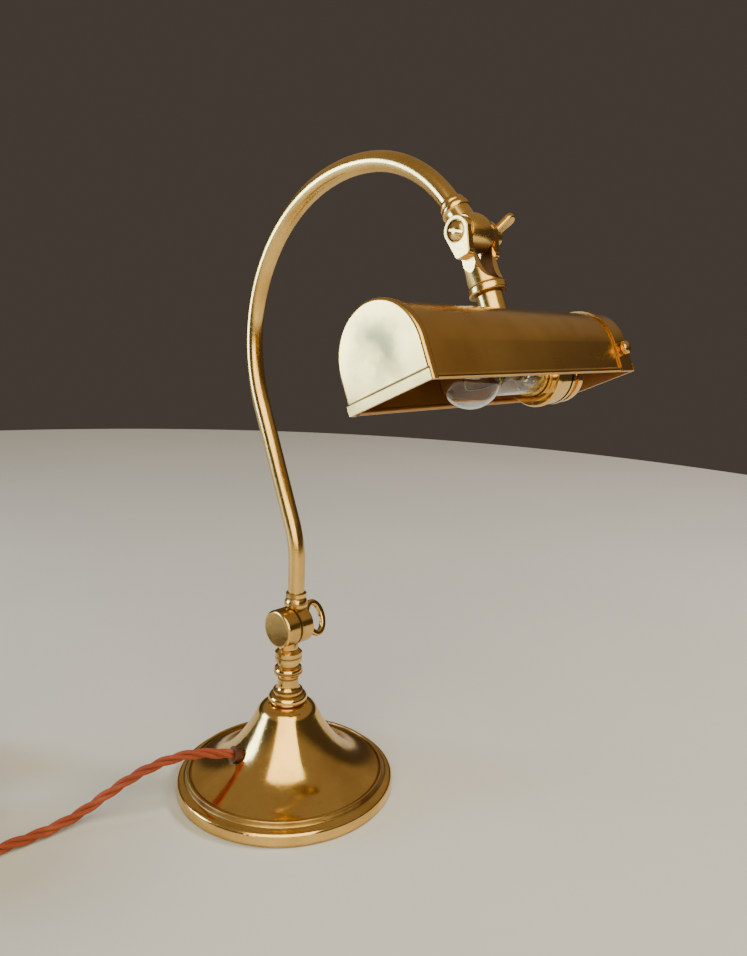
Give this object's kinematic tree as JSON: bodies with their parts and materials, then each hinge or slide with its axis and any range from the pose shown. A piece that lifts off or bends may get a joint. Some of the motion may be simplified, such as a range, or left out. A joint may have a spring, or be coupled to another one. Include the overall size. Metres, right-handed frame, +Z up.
{
  "type": "swing arm desk lamp",
  "caption": "Brass desk lamp with a weighted trumpet base, a swan-neck arm on a ring-key knuckle and a trough shade tilting in a fork.",
  "frame": {"origin": "centre of the base's underside, on the table", "axes": "+Z up, -Y the way the arm reaches, X along both knuckles' pivots"},
  "size_m": [0.3521, 0.3897, 0.4108],
  "materials": {
    "polished_brass": "polished, lightly aged",
    "shade_brass": "polished sheet, dulled with age",
    "dull_brass": "dull",
    "bright_brass": "bright",
    "bulb_cap_brass": "satin",
    "iron": "as cast",
    "felt": "matt felt",
    "friction_leather": "matt",
    "bush": "satin",
    "ceramic": "glazed",
    "clear_glass": "clear",
    "stem_glass": "clear",
    "tungsten": "drawn wire",
    "red_flex": "twisted braid",
    "tie": "woven",
    "plug_shell": "moulded"
  },
  "bodies": {
    "base": {"base_shell": "polished_brass", "base_weight": "iron", "base_pad": "felt", "base_nipple": "dull_brass", "base_washer": "dull_brass", "base_nut": "dull_brass", "neck_collar": "polished_brass", "neck_knuckle": "polished_brass", "knuckle_washer": "friction_leather", "cord_bush": "bush", "base_flex": "red_flex", "cord_lead": "red_flex", "cord_coil": "red_flex", "cord_tail": "red_flex", "coil_tie": "tie", "plug_sleeve": "plug_shell", "plug_cover": "plug_shell", "plug_base": "plug_shell", "plug_pins": "bright_brass", "plug_screw": "bright_brass"},
    "arm": {"arm_foot": "polished_brass", "key_washer": "dull_brass", "arm_tube": "polished_brass", "arm_flex": "red_flex", "arm_eye": "polished_brass", "arm_ferrule": "polished_brass"},
    "ring_key": {"ring_key": "polished_brass"},
    "head": {"fork": "polished_brass", "pivot_screw": "dull_brass", "pivot_washer": "dull_brass", "spigot": "polished_brass", "spigot_nut": "dull_brass", "shade_barrel": "shade_brass", "left_end_cap": "shade_brass", "right_end_cap": "shade_brass", "lamp_carrier": "dull_brass", "thumb_nuts": "dull_brass", "holder_body": "bright_brass", "holder_ring": "bright_brass", "holder_cap": "bright_brass", "contact_block": "ceramic", "contact_plungers": "bright_brass", "lamp_wire": "red_flex", "bulb_glass": "clear_glass", "bulb_cap": "bulb_cap_brass", "lamp_stem": "stem_glass", "filament": "tungsten"},
    "wing_nut": {"wing_nut": "polished_brass"},
    "front_thumb_screw": {"front_thumb_screw": "polished_brass"},
    "back_thumb_screw": {"back_thumb_screw": "polished_brass"}
  },
  "joints": [
    {"name": "arm_tilt", "type": "hinge", "parent": "base", "child": "arm", "pos_m": [0, 0, 0.1187], "axis": [1, 0, 0], "range_deg": [-75, 60]},
    {"name": "ring_key_turn", "type": "hinge", "parent": "base", "child": "ring_key", "pos_m": [0, 0, 0.1187], "axis": [1, 0, 0], "continuous": true},
    {"name": "shade_tilt", "type": "hinge", "parent": "arm", "child": "head", "pos_m": [0.0058, -0.12583, 0.36785], "axis": [1, 0, 0], "range_deg": [-77, 60]},
    {"name": "wing_nut_turn", "type": "hinge", "parent": "head", "child": "wing_nut", "pos_m": [0.0058, -0.12583, 0.36785], "axis": [1, 0, 0], "continuous": true},
    {"name": "front_thumb_screw_turn", "type": "hinge", "parent": "head", "child": "front_thumb_screw", "pos_m": [0.08025, -0.15556, 0.30481], "axis": [0, -0.9045, 0.4266], "continuous": true},
    {"name": "back_thumb_screw_turn", "type": "hinge", "parent": "head", "child": "back_thumb_screw", "pos_m": [0.08025, -0.15556, 0.30481], "axis": [0, 0.9045, -0.4266], "continuous": true}
  ]
}
